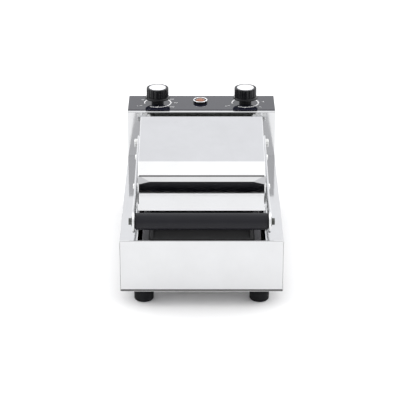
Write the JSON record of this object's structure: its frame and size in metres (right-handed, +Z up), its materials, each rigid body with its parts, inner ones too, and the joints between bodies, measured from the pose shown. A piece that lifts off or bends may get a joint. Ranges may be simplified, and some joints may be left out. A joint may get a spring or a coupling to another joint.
{
  "type": "clamshell hot dog baker",
  "caption": "Counter-top press that bakes hot dogs between two grooved plates: steel box, hinged lid with a bar handle, rear tower with temperature and timer knobs.",
  "frame": {"origin": "on the table, under the middle of the whole object's box", "axes": "+X to the user's right, +Y towards the back, +Z up; the handle and front panel face -Y"},
  "size_m": [0.25, 0.4338, 0.2214],
  "materials": {
    "polished_stainless": "mirror-polished stainless sheet",
    "brushed_stainless": "plain stainless sheet",
    "zinc_steel": "bright zinc-plated steel",
    "black_rubber": "matt black rubber",
    "coated_cast_aluminium": "black non-stick coating on a casting",
    "satin_cast_aluminium": "satin black coating on a casting",
    "black_steel": "black-oxide steel screw",
    "handle_plastic": "satin black phenolic",
    "black_plastic": "semi-gloss black moulding",
    "switch_plastic": "pale moulded switch case",
    "bright_trim": "spun bright aluminium",
    "gloss_overlay": "gloss black control label",
    "amber_lens": "amber lamp lens",
    "element_sheath": "heat-tinted sheath",
    "mineral_wool": "mineral wool slab",
    "ceramic": "white ceramic",
    "copper": "bare copper"
  },
  "bodies": {
    "base": {"bottom_pan": "brushed_stainless", "cable_gland": "black_plastic", "capillary_tube": "copper", "control_nuts": "zinc_steel", "deck_lead_grommet": "black_rubber", "foot_front_left": "black_rubber", "foot_front_right": "black_rubber", "foot_rear_left": "black_rubber", "foot_rear_right": "black_rubber", "foot_screws": "zinc_steel", "front_deck_panel": "polished_stainless", "gland_nut": "black_plastic", "heat_shield": "brushed_stainless", "hinge_bolts": "zinc_steel", "hinge_bracket_left": "brushed_stainless", "hinge_bracket_right": "brushed_stainless", "hinge_bracket_screws": "zinc_steel", "hinge_bushes": "zinc_steel", "lamp_body": "black_plastic", "lamp_lens": "amber_lens", "lamp_nut": "black_plastic", "lamp_ring": "bright_trim", "lower_element": "element_sheath", "lower_insulation": "mineral_wool", "lower_plate": "coated_cast_aluminium", "lower_plate_bolts": "zinc_steel", "panel_overlay": "gloss_overlay", "plate_rail_left": "satin_cast_aluminium", "plate_rail_right": "satin_cast_aluminium", "rear_cover": "brushed_stainless", "rear_cover_screws": "zinc_steel", "reflector_pan": "brushed_stainless", "side_panel_left": "polished_stainless", "side_panel_right": "polished_stainless", "support_bar_front": "brushed_stainless", "support_bar_rear": "brushed_stainless", "terminal_block": "ceramic", "thermostat_body": "switch_plastic", "thermostat_bulb": "copper", "timer_body": "switch_plastic", "tower_panel": "polished_stainless"},
    "lid": {"lid_arm_right": "polished_stainless", "lid_arm_left": "polished_stainless", "handle": "handle_plastic", "handle_screws": "black_steel", "lid_cover": "polished_stainless", "lid_base_frame": "brushed_stainless", "upper_plate": "coated_cast_aluminium", "upper_plate_bolts": "zinc_steel", "upper_element": "element_sheath", "lid_insulation": "mineral_wool", "lid_spacers": "zinc_steel", "lid_side_bolts": "zinc_steel", "lid_lead_grommet": "black_rubber"},
    "temperature_knob": {"temperature_knob": "black_plastic", "temperature_knob_cap": "bright_trim", "temperature_shaft": "zinc_steel"},
    "timer_knob": {"timer_knob": "black_plastic", "timer_knob_cap": "bright_trim", "timer_shaft": "zinc_steel"}
  },
  "joints": [
    {"name": "lid_hinge", "type": "hinge", "parent": "base", "child": "lid", "pos_m": [0, 0.064, 0.164], "axis": [-1, 0, 0], "range_deg": [0, 100]},
    {"name": "temperature_knob_turn", "type": "hinge", "parent": "base", "child": "temperature_knob", "pos_m": [-0.075, 0.1765, 0.2], "axis": [0, 0, -1], "range_deg": [0, 270]},
    {"name": "timer_knob_turn", "type": "hinge", "parent": "base", "child": "timer_knob", "pos_m": [0.075, 0.1765, 0.2], "axis": [0, 0, -1], "range_deg": [0, 300]}
  ]
}
